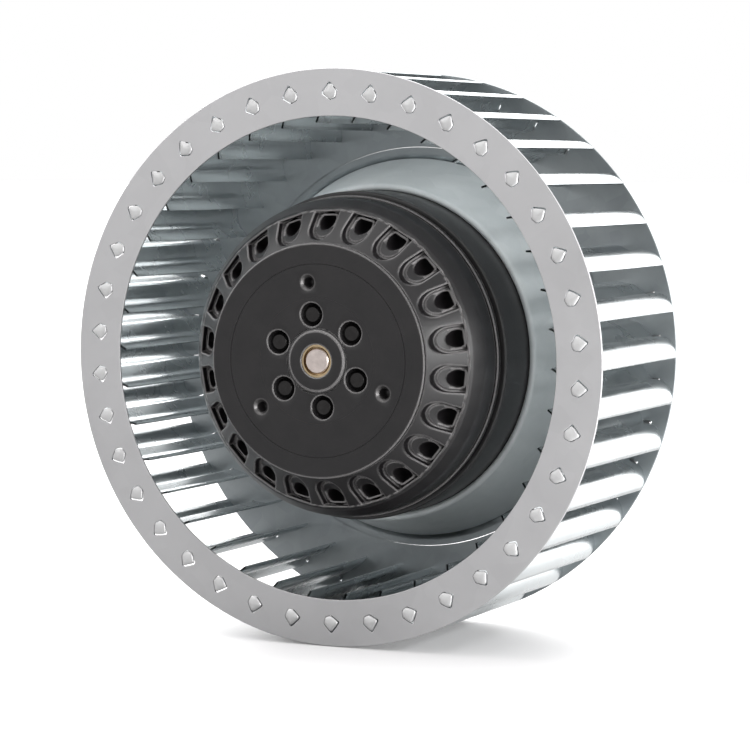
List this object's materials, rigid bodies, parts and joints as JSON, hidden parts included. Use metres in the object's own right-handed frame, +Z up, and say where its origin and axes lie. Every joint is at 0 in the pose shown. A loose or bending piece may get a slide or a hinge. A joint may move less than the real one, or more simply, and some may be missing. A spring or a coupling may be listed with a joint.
{
  "type": "motorised centrifugal blower wheel",
  "caption": "Single-inlet drum wheel with forward-curved sheet blades, riveted over the black rotor of an external-rotor motor that mounts on a rear flange.",
  "frame": {"origin": "centre of the motor flange's mounting face, on the axis of rotation", "axes": "+Y along the axis from the inlet to the flange, out of the mounting face; the inlet faces -Y; +Z up"},
  "size_m": [0.18, 0.082, 0.18],
  "materials": {
    "galvanised_plate": "galvanised sheet, satin",
    "galvanised_strip": "galvanised strip, bright",
    "black_casting": "cast aluminium under semi-gloss black paint",
    "black_laminations": "stacked sheet steel under black paint",
    "ground_steel": "ground",
    "plated_bush": "yellow plated",
    "rivet_steel": "zinc plated",
    "spring_steel": "phosphated",
    "bearing_steel": "polished",
    "bare_casting": "die cast, bare",
    "turned_steel": "turned",
    "bare_laminations": "varnished stack",
    "end_plate_plastic": "moulded",
    "enamelled_copper": "enamelled wire, varnished",
    "black_rubber": "moulded"
  },
  "bodies": {
    "stator": {"stator_flange": "bare_casting", "bearing_tube": "turned_steel", "stator_core": "bare_laminations", "front_insulator": "end_plate_plastic", "rear_insulator": "end_plate_plastic", "stator_winding": "enamelled_copper", "front_bearing_outer": "bearing_steel", "rear_bearing_outer": "bearing_steel", "preload_spring": "spring_steel", "rear_cap": "galvanised_plate", "cable_grommet": "black_rubber"},
    "rotor": {"front_ring": "galvanised_plate", "blades": "galvanised_strip", "back_plate": "galvanised_plate", "rotor_housing": "black_casting", "rotor_core": "black_laminations", "shaft": "ground_steel", "shaft_hub": "plated_bush", "hub_rivets": "rivet_steel", "shaft_spacer": "ground_steel", "shaft_circlip": "spring_steel", "front_bearing_inner": "bearing_steel", "rear_bearing_inner": "bearing_steel"}
  },
  "joints": [
    {"name": "wheel_spin", "type": "hinge", "parent": "stator", "child": "rotor", "pos_m": [0, 0, 0], "axis": [0, 1, 0], "continuous": true}
  ]
}
